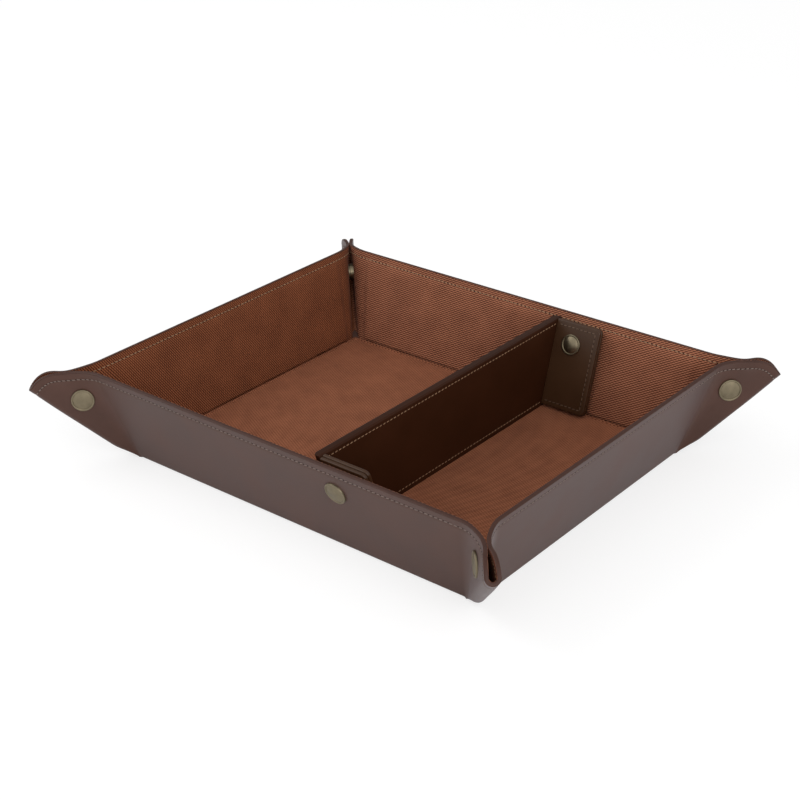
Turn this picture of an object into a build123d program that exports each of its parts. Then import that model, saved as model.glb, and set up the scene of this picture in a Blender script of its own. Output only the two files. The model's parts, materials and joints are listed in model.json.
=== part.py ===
from build123d import *
import os
from math import asin, atan, cos, radians, sin, sqrt, tan

# Leather valet tray: one flat sheet of leather, board and lining, folded up into four leaning
# walls. Each corner is pinched into a diagonal ear and held by a snap. A divider stands across
# the tray and is snapped to the front and back walls by its two tabs.
# Millimetres, +Z up, origin at the centre of the underside, +X along the long side.

# Tray, measured at the fold lines of the outer leather face
base_length = 250.0
base_width = 200.0
wall_height = 57.0
wall_lean = 17.5
sheet_corner_radius = 24.0
corner_turn = 90.0

# Layers of the sheet
leather_thickness = 1.4
board_thickness = 1.2
lining_thickness = 0.8
board_end_margin = 4.0

# Gaps between pieces
fold_gap = 0.3
snap_clearance = 0.3
post_clearance = 0.2
cut_overrun = 5.0

# Snap fasteners
cap_diameter = 13.4
tab_cap_diameter = 12.5
cap_height = 1.6
dome_height = 2.4
cap_edge_height = 0.8
cap_rim_width = 1.1
post_diameter = 4.0
socket_diameter = 10.5
socket_height = 2.2
socket_bore = 6.0
socket_floor = 0.4
flange_diameter = 10.0
flange_thickness = 0.7
nub_diameter = 4.4
nub_neck_diameter = 3.4
snap_height = 42.4
ear_snap_reach = 23.7

# Divider
divider_offset = 30.0
divider_thickness = 5.2
divider_top = 56.5
divider_corner_radius = 3.5
divider_edge_radius = 1.2
tab_length = 30.4
tab_thickness = 4.6
tab_snap_reach = 12.6
tab_corner_radius = 3.0
tab_floor_clearance = 0.6

# Layers added up
leather_and_board = leather_thickness + board_thickness
sheet_thickness = leather_and_board + lining_thickness
ear_thickness = leather_thickness + lining_thickness
snap_stack = socket_height + flange_thickness + snap_clearance
nub_height = socket_height - socket_floor

# Angles of the folded corner
lean = radians(wall_lean)
half_turn = radians(corner_turn) / 2
diagonal_stretch = sqrt(2)
wall_slope = wall_height / cos(lean)
wall_end_slope = sin(lean)
crease_rise = atan(1 / (diagonal_stretch * tan(lean)))
fold_rise = crease_rise - (half_turn - atan(wall_end_slope))
ear_tilt = half_turn - fold_rise

# Places that follow from the sizes above
half_length = base_length / 2
half_width = base_width / 2
fold_offset = snap_stack / 2 + ear_thickness
crease_setback = fold_offset * diagonal_stretch
base_inset = leather_thickness * cos(lean) + fold_gap
base_corner_cut = (fold_offset + fold_gap) * diagonal_stretch - base_inset
panel_start = (sheet_thickness + fold_gap - leather_thickness * sin(lean)) / cos(lean)
ear_tip_reach = (wall_slope - sheet_corner_radius) * diagonal_stretch + sheet_corner_radius
tab_outer_depth = sheet_thickness + snap_stack
tab_inner_depth = tab_outer_depth + tab_thickness
divider_right_face = divider_offset + divider_thickness / 2
divider_left_face = divider_offset - divider_thickness / 2
tab_snap_place = divider_right_face + tab_snap_reach

# Each wall: direction outward, distance of its fold line, half length of its fold line
walls = {
    "front": (Vector(0, -1, 0), half_width, half_length),
    "right": (Vector(1, 0, 0), half_length, half_width),
    "back": (Vector(0, 1, 0), half_width, half_length),
    "left": (Vector(-1, 0, 0), half_length, half_width),
}

# Each corner: its signs along X and Y, and the two walls that meet there
corners = {
    "front_right": (1, -1, ("front", "right")),
    "back_right": (1, 1, ("back", "right")),
    "back_left": (-1, 1, ("back", "left")),
    "front_left": (-1, -1, ("front", "left")),
}

os.makedirs("parts", exist_ok=True)


def save(solid, name):
    """Write one piece to its own file."""
    export_step(solid, f"parts/{name}.step")


def plate(points, start, thickness):
    """Flat panel: a closed outline raised from one depth of the sheet by a thickness."""
    return Pos(0, 0, start) * extrude(make_face(Polyline(*points, close=True)), amount=thickness)


def bore(x, y, thickness):
    """Hole through a sheet for the post of a snap."""
    radius = post_diameter / 2 + post_clearance
    return Pos(x, y, thickness / 2) * Cylinder(radius, thickness + cut_overrun)


def turned(*edges):
    """Solid of revolution about Z from a closed half section in the XZ plane."""
    return revolve(Plane.XZ * make_face(Curve() + list(edges)), Axis.Z)


# Snap fastener, drawn on a sheet whose outer face is at z = 0 and whose depth runs along +Z


def snap_cap(diameter, height, through):
    """Domed cap with a rolled rim on the outer face, and its post down through the sheet."""
    radius = diameter / 2
    post = post_diameter / 2
    rim_inside = radius - cap_rim_width
    rim_middle = radius - cap_rim_width / 2
    rim_top = cap_edge_height + cap_rim_width / 4
    dome_rise = height - cap_edge_height
    dome_radius = (rim_inside**2 + dome_rise**2) / (2 * dome_rise)
    half_way = asin(rim_inside / dome_radius) / 2
    dome_middle = (dome_radius * sin(half_way), dome_radius * (1 - cos(half_way)) - height)
    return turned(
        Line((0, -height), (0, through)),
        Line((0, through), (post, through)),
        Line((post, through), (post, 0)),
        Line((post, 0), (radius, 0)),
        Line((radius, 0), (radius, -cap_edge_height)),
        ThreePointArc((radius, -cap_edge_height), (rim_middle, -rim_top), (rim_inside, -cap_edge_height)),
        ThreePointArc((rim_inside, -cap_edge_height), dome_middle, (0, -height)),
    )


def snap_socket(depth):
    """Cup with a floor that the stud's nub enters."""
    low = (Align.CENTER, Align.CENTER, Align.MIN)
    ring = Cylinder(socket_diameter / 2, socket_height, align=low)
    ring -= Pos(0, 0, socket_floor) * Cylinder(socket_bore / 2, socket_height, align=low)
    return Pos(0, 0, depth) * ring


def snap_stud(depth):
    """Flange with a waisted, round-topped nub."""
    flange = flange_diameter / 2
    neck = nub_neck_diameter / 2
    nub = nub_diameter / 2
    top = flange_thickness + nub_height - snap_clearance
    waist = flange_thickness + nub_height / 3
    stud = turned(
        Line((0, 0), (flange, 0)),
        Line((flange, 0), (flange, flange_thickness)),
        Line((flange, flange_thickness), (neck, flange_thickness)),
        Line((neck, flange_thickness), (neck, waist)),
        ThreePointArc((neck, waist), (nub, (waist + top) / 2), (neck, top)),
        Line((neck, top), (0, top)),
        Line((0, top), (0, 0)),
    )
    return Pos(0, 0, depth) * stud


# Base


def base_layer(start, thickness):
    """Eight-sided layer of the base: a rectangle whose corners stop short of the ears."""
    x = half_length - base_inset
    y = half_width - base_inset
    short_x = half_length - base_corner_cut
    short_y = half_width - base_corner_cut
    outline = [(x, -short_y), (x, short_y), (short_x, y), (-short_x, y)]
    outline += [(-px, -py) for px, py in outline]
    return plate(outline, start, thickness)


# Walls


def wall_plane(outward, distance):
    """Plane of a wall's outer face: x along the fold, y up the slope, z into the tray."""
    inward = outward * -cos(lean) + Vector(0, 0, sin(lean))
    along = Vector(outward.Y, -outward.X, 0)
    return Plane(origin=outward * distance, x_dir=along, z_dir=inward)


def wall_layer(fold_half, low, margin, start, thickness):
    """Trapezoid layer of a wall, from one height up the slope to the rim."""
    def half_at(height):
        return fold_half - crease_setback + height * wall_end_slope - fold_gap / 2 - margin
    outline = [
        (-half_at(low), low),
        (half_at(low), low),
        (half_at(wall_slope), wall_slope),
        (-half_at(wall_slope), wall_slope),
    ]
    return plate(outline, start, thickness)


def make_wall(name):
    """Leather, board and lining of a wall, and the divider's snap on the front and back walls."""
    outward, distance, fold_half = walls[name]
    plane = wall_plane(outward, distance)
    layers = {
        "leather": wall_layer(fold_half, 0, 0, 0, leather_thickness),
        "board": wall_layer(
            fold_half, panel_start, board_end_margin, leather_thickness, board_thickness
        ),
        "lining": wall_layer(fold_half, panel_start, 0, leather_and_board, lining_thickness),
    }
    if name in ("front", "back"):
        x = tab_snap_place * plane.x_dir.X
        hole = bore(x, snap_height, sheet_thickness)
        layers = {layer: solid - hole for layer, solid in layers.items()}
        seat = Pos(x, snap_height, 0)
        save(plane * (seat * snap_cap(cap_diameter, cap_height, sheet_thickness)), f"{name}_wall_snap_cap")
        save(plane * (seat * snap_stud(sheet_thickness)), f"{name}_wall_snap_stud")
    for layer, solid in layers.items():
        save(plane * solid, f"{name}_wall_{layer}")


# Ears, drawn flat: x along the rim, y up the slope, z from the leather face to the lining


def ear_layer(start, thickness):
    """Flat half of an ear, from its crease at the wall to the diagonal fold."""
    apex = fold_gap / (1 - wall_end_slope)
    bulge = (wall_slope - sheet_corner_radius) + sheet_corner_radius * cos(half_turn / 2 + half_turn)
    rise = (wall_slope - sheet_corner_radius) + sheet_corner_radius * sin(half_turn / 2 + half_turn)
    tip = (ear_tip_reach * cos(half_turn), ear_tip_reach * sin(half_turn))
    crease_top = (wall_slope * wall_end_slope + fold_gap, wall_slope)
    arc_start = (wall_slope - sheet_corner_radius, wall_slope)
    outline = Polyline((apex, apex), crease_top, arc_start)
    outline += ThreePointArc(arc_start, (bulge, rise), tip)
    outline += Line(tip, (apex, apex))
    flat = Pos(0, 0, start) * extrude(make_face(outline), amount=thickness)
    return flat - bore(ear_snap_reach, snap_height, ear_thickness)


def make_ears(corner):
    """One corner's ear: two halves that meet at the diagonal fold, mirror images but for the snap."""
    sign_x, sign_y, names = corners[corner]
    outward = Vector(sign_x, sign_y, 0).normalized()
    rim = outward * cos(ear_tilt) - Vector(0, 0, sin(ear_tilt))
    seat = Pos(ear_snap_reach, snap_height, 0)
    for name in names:
        along_x = name in ("front", "back")
        apex = Vector(sign_x * half_length, sign_y * half_width, 0)
        if along_x:
            apex -= Vector(sign_x * crease_setback, 0, 0)
            facing = Vector(sign_x, -sign_y, 0)
            closure, closure_name = snap_socket(ear_thickness), "snap_socket"
        else:
            apex -= Vector(0, sign_y * crease_setback, 0)
            facing = Vector(-sign_x, sign_y, 0)
            closure, closure_name = snap_stud(ear_thickness), "snap_stud"
        plane = Plane(origin=apex, x_dir=rim, z_dir=facing)
        pieces = {
            "leather": ear_layer(0, leather_thickness),
            "lining": ear_layer(leather_thickness, lining_thickness),
            "snap_cap": seat * snap_cap(cap_diameter, cap_height, ear_thickness),
            closure_name: seat * closure,
        }
        for piece, solid in pieces.items():
            if plane.y_dir.Z < 0:
                solid = mirror(solid, about=Plane.XZ)
            save(plane * solid, f"{corner}_ear_{name}_half_{piece}")


# Divider


def divider_solid(inset):
    """Upright panel whose ends lean with the walls, drawn smaller all round by an inset."""
    def half_at(height):
        return half_width - (tab_outer_depth + inset) / cos(lean) + height * tan(lean)
    low = sheet_thickness + inset
    high = divider_top - inset
    outline = [
        (-half_at(low), low),
        (half_at(low), low),
        (half_at(high), high),
        (-half_at(high), high),
    ]
    face = Plane.YZ * make_face(Polyline(*outline, close=True))
    return Pos(divider_left_face + inset, 0, 0) * extrude(face, amount=divider_thickness - 2 * inset)


def make_divider():
    """Board wrapped in leather; the outer corners are rounded where the leather turns to the tabs."""
    board = divider_solid(leather_thickness)
    wrap = divider_solid(0)
    left_face = wrap.faces().sort_by(Axis.X)[0]
    corner_edges = left_face.edges().filter_by(lambda edge: abs(edge.tangent_at(0.5).Z) > 0.5)
    wrap = fillet(corner_edges, divider_corner_radius)
    rim = wrap.edges().filter_by(Axis.Y).group_by(Axis.Z)[-1]
    wrap = fillet(rim, divider_edge_radius)
    save(board, "divider_board")
    save(wrap - board, "divider_leather")


def make_tab(name):
    """Leather tab at one end of the divider, with its snap, held off the wall by the snap."""
    outward, distance, _ = walls[name]
    plane = wall_plane(outward, distance)
    side = plane.x_dir.X
    low = (sheet_thickness + tab_floor_clearance - tab_outer_depth * sin(lean)) / cos(lean)
    high = (divider_top - tab_inner_depth * sin(lean)) / cos(lean)
    near = (divider_right_face + fold_gap) * side
    far = (divider_right_face + tab_length) * side
    tab = plate([(near, low), (far, low), (far, high), (near, high)], tab_outer_depth, tab_thickness)
    free_corners = tab.edges().filter_by(Axis.Z).sort_by(Axis.X)
    free_corners = free_corners[-2:] if side > 0 else free_corners[:2]
    tab = fillet(free_corners, tab_corner_radius)
    tab -= bore(tab_snap_place * side, snap_height, 2 * tab_inner_depth)
    over = Pos(tab_snap_place * side, snap_height, tab_inner_depth) * Rot(180, 0, 0)
    under = Pos(tab_snap_place * side, snap_height, tab_outer_depth) * Rot(180, 0, 0)
    save(plane * tab, f"divider_{name}_tab_leather")
    save(plane * (over * snap_cap(tab_cap_diameter, dome_height, tab_thickness)), f"divider_{name}_tab_snap_cap")
    save(plane * (under * snap_socket(0)), f"divider_{name}_tab_snap_socket")


save(base_layer(0, leather_thickness), "base_leather")
save(base_layer(leather_thickness, board_thickness), "base_board")
save(base_layer(leather_and_board, lining_thickness), "base_lining")
for wall_name in walls:
    make_wall(wall_name)
for corner_name in corners:
    make_ears(corner_name)
make_divider()
for tab_name in ("front", "back"):
    make_tab(tab_name)
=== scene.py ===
import json
from math import atan, cos, exp, pi, radians, sin, sqrt, tan

import bpy
from bpy.props import FloatProperty, FloatVectorProperty, PointerProperty
from mathutils import Matrix, Vector


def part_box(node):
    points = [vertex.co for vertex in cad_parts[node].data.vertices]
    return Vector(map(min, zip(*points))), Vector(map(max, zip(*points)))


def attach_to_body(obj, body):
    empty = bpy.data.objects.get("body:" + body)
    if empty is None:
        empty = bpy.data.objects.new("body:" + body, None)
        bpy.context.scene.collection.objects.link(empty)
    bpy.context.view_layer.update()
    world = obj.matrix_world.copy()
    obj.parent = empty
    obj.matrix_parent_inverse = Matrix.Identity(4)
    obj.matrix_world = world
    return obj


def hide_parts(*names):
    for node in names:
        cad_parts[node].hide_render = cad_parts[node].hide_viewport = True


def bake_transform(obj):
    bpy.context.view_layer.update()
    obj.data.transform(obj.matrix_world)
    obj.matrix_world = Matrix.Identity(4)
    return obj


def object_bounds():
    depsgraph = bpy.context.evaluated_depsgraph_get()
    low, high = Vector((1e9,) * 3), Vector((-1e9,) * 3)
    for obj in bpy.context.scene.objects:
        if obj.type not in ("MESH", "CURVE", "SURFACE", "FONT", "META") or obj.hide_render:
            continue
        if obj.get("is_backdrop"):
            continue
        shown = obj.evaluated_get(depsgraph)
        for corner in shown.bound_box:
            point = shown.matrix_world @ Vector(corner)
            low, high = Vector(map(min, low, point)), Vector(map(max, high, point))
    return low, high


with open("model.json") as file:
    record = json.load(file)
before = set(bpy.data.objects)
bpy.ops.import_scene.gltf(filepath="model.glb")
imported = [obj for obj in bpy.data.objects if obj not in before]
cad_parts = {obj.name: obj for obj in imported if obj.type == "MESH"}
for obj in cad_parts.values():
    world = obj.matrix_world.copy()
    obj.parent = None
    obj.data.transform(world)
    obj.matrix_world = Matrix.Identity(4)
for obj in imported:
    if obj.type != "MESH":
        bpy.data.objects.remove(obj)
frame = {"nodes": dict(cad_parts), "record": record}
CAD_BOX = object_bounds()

bl_info = {
    "name": "Valet tray",
    "version": (1, 0, 0),
    "blender": (4, 5, 0),
    "location": "View3D > Sidebar > Valet tray",
    "description": "Leather valet tray with snapped corner ears, twill lining and a divider",
    "category": "Add Mesh",
}

MM = 0.001
Z = Vector((0, 0, 1))
JOINTS = {joint["name"]: joint for joint in frame["record"]["behaviour"]["joints"]}


def linear(code):
    """sRGB hex colour as linear red, green and blue."""
    values = [int(code[i:i + 2], 16) / 255 for i in (1, 3, 5)]
    return [v / 12.92 if v <= 0.04045 else ((v + 0.055) / 1.055) ** 2.4 for v in values]


# Places and thicknesses read from the frame

HALF_WIDTH = abs(JOINTS["front_wall_fold"]["pos_m"][1])
HALF_LENGTH = abs(JOINTS["right_wall_fold"]["pos_m"][0])
SETBACK = HALF_LENGTH - abs(JOINTS["front_right_ear_front_half_fold"]["pos_m"][0])
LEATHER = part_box("base_leather")[1][2]
LEATHER_AND_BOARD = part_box("base_board")[1][2]
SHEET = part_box("base_lining")[1][2]
LINING = SHEET - LEATHER_AND_BOARD
WALL_LEAN = radians(90 - JOINTS["front_wall_fold"]["range_deg"][1])
RIM_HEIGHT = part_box("front_wall_leather")[1][2] - LEATHER * sin(WALL_LEAN)


def length(name, description, millimetres):
    """Length property with a default given in millimetres."""
    return FloatProperty(name=name, description=description, default=millimetres * MM, unit="LENGTH")


def angle(name, description, default):
    """Angle property."""
    return FloatProperty(name=name, description=description, default=default, subtype="ANGLE")


def colour(name, description, code):
    """Colour property with a default given as sRGB hex."""
    return FloatVectorProperty(name=name, description=description, subtype="COLOR",
                               size=3, min=0, max=1, default=linear(code))


class TraySizes(bpy.types.PropertyGroup):
    """Sizes of the dressed tray that a user would change."""

    wall_lean: angle("Wall lean", "How far the walls lean out from upright", WALL_LEAN)
    corner_radius: length("Corner radius", "Radius of the sheet's corners", 24.0)
    fold_radius: length("Fold radius", "Radius of the base folds' outer face", 2.1)
    bend_start: length("Bend at base", "Half width of the ear's bend at its foot", 2.0)
    bend_growth: FloatProperty(name="Bend growth", description="Growth of the bend's half width per length",
                               default=0.12)
    board_margin: length("Board margin", "Stretch where the board fades out towards an ear", 4.5)
    rim_taper: length("Rim taper", "Stretch below the rim where the board thins out", 9.0)
    mouth_spread: length("Mouth spread", "Extra spread of an ear's open end", 0.3)
    ear_lift: length("Ear lift", "How far an ear's open end rises over a sharp fold", 4.2)
    edge_height: length("Edge paint", "Height of the painted rim edge", 0.6)
    stitch_pitch: length("Stitch pitch", "Distance from stitch to stitch", 3.0)
    stitch_length: length("Stitch length", "Length of thread that shows", 2.3)
    stitch_width: length("Thread width", "Width of the thread", 0.65)
    stitch_inset: length("Stitch inset", "Distance of the seam from the rim", 4.5)
    stitch_slant: angle("Stitch slant", "Turn of each stitch from the seam's line", radians(9))
    hole_size: length("Needle hole", "Width of the holes at the stitches' ends", 0.75)
    cap_radius: length("Cap radius", "Radius of the outer snap caps", 6.7)
    cap_height: length("Cap height", "Height of the outer snap caps", 1.6)
    tab_cap_radius: length("Tab cap radius", "Radius of the tabs' snap caps", 6.25)
    tab_cap_height: length("Tab cap height", "Height of the tabs' snap caps", 2.4)
    snap_height: length("Snap height", "Distance of the snaps up the slope", 42.4)
    snap_reach: length("Snap reach", "Distance of the ears' snaps from the apex", 23.7)
    tab_snap_reach: length("Tab snap reach", "Distance of the tabs' snaps from the divider", 12.6)
    tab_back: length("Tab back", "Distance of the tabs' back from the wall's outer face", 6.6)
    tab_face: length("Tab face", "Distance of the tabs' face from the wall's outer face", 11.2)
    twill_turn: angle("Twill turn", "Direction of the lining's ribs from the long side", radians(30))
    twill_pitch: length("Twill pitch", "Distance from rib to rib of the lining", 1.3)
    twill_dash: length("Twill dash", "Length of one thread float in a rib", 1.9)


class TrayColours(bpy.types.PropertyGroup):
    """Colours of the dressed tray."""

    leather: colour("Leather", "Smooth dark brown leather", "#4D332A")
    leather_tab: colour("Tab leather", "Leather of the divider's tabs", "#402918")
    # Darker still than the tabs' leather: painted shade for the shade that falls on the divider between the
    # walls
    shaded_divider_leather: colour("Divider leather", "Leather of the divider", "#341A0C")
    edge: colour("Edge paint", "Painted edges", "#3F251C")
    lining: colour("Lining", "Warm brown twill", "#B37558")
    # Painted shade in the twill's grooves between its ribs
    lining_groove_shade: colour("Lining grooves", "Twill between its ribs", "#3A1B12")
    thread_outside: colour("Outer thread", "Thread on the leather face", "#84736A")
    thread_inside: colour("Inner thread", "Thread on the lining", "#A88464")
    thread_tab: colour("Tab thread", "Thread on the divider's tabs", "#6A5240")
    metal: colour("Snaps", "Antique brass", "#897E68")
    board: colour("Board", "Grey brown board", "#8A7458")
    floor: colour("Floor", "Studio floor", "#FAFAFA")


def sizes():
    return bpy.context.scene.tray_sizes


def colours():
    return bpy.context.scene.tray_colours


def smooth(t):
    """Smoothstep from 0 to 1."""
    t = min(max(t, 0.0), 1.0)
    return t * t * (3 - 2 * t)


# Materials


def connect(tree, node, inputs):
    """Fills a node's inputs: sockets are linked, a node by its first output in use, and the rest is set."""
    for key, value in inputs.items():
        if isinstance(value, bpy.types.Node):
            value = next(socket for socket in value.outputs if socket.enabled)
        if isinstance(value, bpy.types.NodeSocket):
            tree.links.new(value, node.inputs[key])
        else:
            node.inputs[key].default_value = value


def add_node(tree, kind, label="", settings=None, *values, **by_name):
    """One shader node with its settings; values fill its inputs in use in order, the others go by name."""
    node = tree.nodes.new(f"ShaderNode{kind}")
    node.label = label
    for name, value in (settings or {}).items():
        setattr(node, name, value)
    used = [i for i, socket in enumerate(node.inputs) if socket.enabled]
    connect(tree, node, dict(zip(used, values)))
    connect(tree, node, by_name)
    return node


def rgba(values):
    return (*values, 1.0)


def shades(base, low, high):
    """A darker and a lighter shade of a colour."""
    return rgba(v * low for v in base), rgba(min(v * high, 1) for v in base)


def new_material(name):
    """Empty node material with its shader linked to the output; made anew on each run."""
    old = bpy.data.materials.get(name)
    if old:
        bpy.data.materials.remove(old)
    material = bpy.data.materials.new(name)
    material.use_nodes = True
    tree = material.node_tree
    tree.nodes.clear()
    shader = add_node(tree, "BsdfPrincipled")
    add_node(tree, "OutputMaterial", Surface=shader)
    return material, tree, shader


COLOUR_MIX = {"data_type": "RGBA"}


def leather_material(name, base, roughness, grain, sheen_weight, specular=0.3):
    """Smooth satin leather: fine pores, soft clouding and slight wear in its sheen."""
    material, tree, shader = new_material(name)
    place = add_node(tree, "TexCoord").outputs["Object"]
    # Clouds about 26 mm across; pores of 0.7 mm and grain of 0.9 mm, coarser than real ones so that they show
    clouds = add_node(tree, "TexNoise", "clouding", Vector=place, Scale=38.0, Detail=4.0)
    pores = add_node(tree, "TexVoronoi", "pores", {"feature": "F1"}, Vector=place, Scale=1500.0)
    creases = add_node(tree, "TexNoise", "fine grain", Vector=place, Scale=1100.0, Detail=3.0)
    tone = add_node(tree, "MapRange", "clouded tone", None, clouds, 0.3, 0.7, 0.0, 1.0)
    worn = add_node(tree, "MapRange", "worn sheen", None, clouds, 0.25, 0.75,
                    roughness - 0.04, roughness + 0.05)
    height = add_node(tree, "Math", "grain height", {"operation": "MULTIPLY_ADD"}, pores, 0.6, creases)
    bump = add_node(tree, "Bump", "grain", Strength=grain, Distance=0.05 * MM, Height=height)
    hue = add_node(tree, "Mix", "clouded colour", COLOUR_MIX, tone, *shades(base, 0.86, 1.14))
    connect(tree, shader, {"Base Color": hue, "Roughness": worn, "Normal": bump, "IOR": 1.5,
                           "Specular IOR Level": specular, "Sheen Weight": sheen_weight,
                           "Sheen Roughness": 0.35, "Sheen Tint": (0.85, 0.9, 1.0, 1.0)})
    return material


def twill_material(name, painted_shading):
    """Twill lining: slanted ribs of short thread floats, laid out on the flat pattern of the sheet; darker in
    the grooves between ribs and floats, painted shade.
    """
    material, tree, shader = new_material(name)
    size = sizes()
    scaled, times = {"operation": "MULTIPLY_ADD"}, {"operation": "MULTIPLY"}
    sheet = add_node(tree, "UVMap", "flat pattern", {"uv_map": "flat_pattern"})
    turned = add_node(tree, "Mapping", "turned to the ribs", {"vector_type": "TEXTURE"}, sheet,
                      Rotation=(0, 0, size.twill_turn), Scale=(size.twill_dash, size.twill_pitch, 1))
    parts = add_node(tree, "SeparateXYZ", "", None, turned)
    # Yarn that wanders over 2.4 mm, fibres of 0.4 mm, coarser than real ones, and dye clouds of 17 mm
    yarn = add_node(tree, "TexNoise", "uneven yarn", Vector=sheet, Scale=420.0, Detail=2.0)
    fibre = add_node(tree, "TexNoise", "fibres", Vector=sheet, Scale=2600.0, Detail=3.0)
    faded = add_node(tree, "TexNoise", "uneven dye", Vector=sheet, Scale=60.0, Detail=5.0)
    across = add_node(tree, "Math", "place across the ribs", scaled, yarn, 0.22, parts.outputs["Y"])
    rib = add_node(tree, "Math", "rib number", {"operation": "FLOOR"}, across)
    rib_place = add_node(tree, "Math", "place in the rib", {"operation": "FRACT"}, across)
    along = add_node(tree, "Math", "floats shift from rib to rib", scaled, rib, 0.45, parts.outputs["X"])
    along = add_node(tree, "Math", "floats slant in the rib", scaled, rib_place, 0.3, along)
    float_place = add_node(tree, "Math", "place in the float", {"operation": "FRACT"}, along)
    rounded = []
    for label, spot in (("round rib", rib_place), ("round float", float_place)):
        turn = add_node(tree, "Math", "", times, spot, pi)
        rounded.append(add_node(tree, "Math", label, {"operation": "SINE"}, turn))
    flatter = add_node(tree, "Math", "flatter float", {"operation": "POWER"}, rounded[1], 0.45)
    share = add_node(tree, "Math", "float's share of the height", scaled, flatter, 0.5, 0.5)
    height = add_node(tree, "Math", "weave height", times, rounded[0], share)
    level = add_node(tree, "Math", "dye", scaled, faded, 0.25, -0.125)
    level = add_node(tree, "Math", "dye and fibres", scaled, fibre, 0.42, level)
    # The weave's height also darkens the grooves between ribs and floats: painted shade
    level = add_node(tree, "Math", "dye, fibres and weave", scaled, height, 0.72, level)
    tone = add_node(tree, "MapRange", "contrast", None, level, 0.34, 0.93, 0.0, 1.0)
    rough = add_node(tree, "Math", "fuzzy height", scaled, fibre, 0.3, height)
    bump = add_node(tree, "Bump", "weave", Strength=0.55, Distance=0.25 * MM, Height=rough)
    # painted_shading scales both colours, making lit and shaded copies of the lining: painted light and shade
    dark, light = (rgba(min(v * part, 1) for v, part in zip(base, painted_shading))
                   for base in (colours().lining_groove_shade, colours().lining))
    hue = add_node(tree, "Mix", "rib colour", COLOUR_MIX, tone, dark, light)
    connect(tree, shader, {"Base Color": hue, "Normal": bump, "Roughness": 0.86,
                           "Specular IOR Level": 0.1, "Sheen Weight": 0.03, "Sheen Roughness": 0.5})
    return material


def edge_material(name, base):
    """Painted leather edge: smooth, satin, uneven over about 4 mm as brushed paint is."""
    material, tree, shader = new_material(name)
    place = add_node(tree, "TexCoord").outputs["Object"]
    waves = add_node(tree, "TexNoise", "brushed paint", Vector=place, Scale=260.0, Detail=3.0)
    bump = add_node(tree, "Bump", "brush marks", Strength=0.35, Distance=0.08 * MM, Height=waves)
    hue = add_node(tree, "Mix", "paint", COLOUR_MIX, waves, *shades(base, 0.8, 1.25))
    connect(tree, shader, {"Base Color": hue, "Normal": bump, "Roughness": 0.5,
                           "Specular IOR Level": 0.3})
    return material


def thread_material(name, base):
    """Twisted sewing thread: slanted plies about 0.35 mm apart, darker between the plies as painted shade,
    and a soft shine.
    """
    material, tree, shader = new_material(name)
    place = add_node(tree, "TexCoord").outputs["Object"]
    plies = add_node(tree, "TexWave", "plies", {"bands_direction": "DIAGONAL"}, Vector=place,
                     Scale=900.0, Distortion=1.5, Detail=1.0).outputs["Fac"]
    bump = add_node(tree, "Bump", "twist", Strength=0.5, Distance=0.1 * MM, Height=plies)
    # Darker between the plies: painted shade
    hue = add_node(tree, "Mix", "ply colour", COLOUR_MIX, plies, *shades(base, 0.6, 1.15))
    connect(tree, shader, {"Base Color": hue, "Normal": bump, "Roughness": 0.55})
    return material


def metal_material():
    """Antique brass: tarnish clouds of about 3 mm; satin brushing, coarser than real at 0.24 mm."""
    material, tree, shader = new_material("antique_brass_satin")
    place = add_node(tree, "TexCoord").outputs["Object"]
    stain = add_node(tree, "TexNoise", "tarnish", Vector=place, Scale=330.0, Detail=6.0)
    brushed = add_node(tree, "TexNoise", "satin finish", Vector=place, Scale=4200.0, Detail=2.0)
    rough = add_node(tree, "MapRange", "duller where tarnished", None, stain, 0.3, 0.7, 0.36, 0.5)
    bump = add_node(tree, "Bump", "brushing", Strength=0.12, Distance=0.02 * MM, Height=brushed)
    hue = add_node(tree, "Mix", "tarnished colour", COLOUR_MIX, stain, *shades(colours().metal, 0.62, 1.2))
    connect(tree, shader, {"Base Color": hue, "Roughness": rough, "Normal": bump, "Metallic": 1.0})
    return material


def board_material():
    """Pressed board: matt, with flecks of about 1 mm."""
    material, tree, shader = new_material("pressed_board")
    place = add_node(tree, "TexCoord").outputs["Object"]
    flecks = add_node(tree, "TexNoise", "fibres", Vector=place, Scale=800.0, Detail=4.0)
    hue = add_node(tree, "Mix", "flecks", COLOUR_MIX, flecks, *shades(colours().board, 0.75, 1.1))
    connect(tree, shader, {"Base Color": hue, "Roughness": 0.85})
    return material


def material(name):
    """The tray's material of that name, made on first use."""
    if name not in MADE:
        c = colours()
        makers = {
            "leather": lambda: leather_material("satin_leather_brown", c.leather, 0.42, 0.22, 0.16),
            # The divider's darker leather carries painted shade
            "divider": lambda: leather_material("satin_leather_divider_painted_shade", c.shaded_divider_leather, 0.45, 0.3, 0.0, 0.1),
            "tab": lambda: leather_material("satin_leather_tabs", c.leather_tab, 0.36, 0.3, 0.0),
            "edge": lambda: edge_material("edge_paint_dark_brown", c.edge),
            "hole": lambda: edge_material("needle_hole_shadow", [v * 0.25 for v in c.edge]),
            "lining": lambda: twill_material("twill_lining_brown", (1.0, 1.0, 1.0)),
            # Darker, redder copy of the lining for the side walls: painted shade
            "shaded_side_lining": lambda: twill_material("twill_lining_side_walls_painted_shade", (0.68, 0.56, 0.43)),
            # Lighter, redder copy of the lining for the floor: painted light
            "floor_lining": lambda: twill_material("twill_lining_floor_painted_light", (1.06, 0.98, 0.88)),
            "thread_outside": lambda: thread_material("thread_grey_beige", c.thread_outside),
            "thread_inside": lambda: thread_material("thread_tan", c.thread_inside),
            "thread_tab": lambda: thread_material("thread_dark_brown", c.thread_tab),
            "metal": metal_material,
            "board": board_material,
        }
        MADE[name] = makers[name]()
    return MADE[name]


MADE = {}


# Modelling helpers


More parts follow.
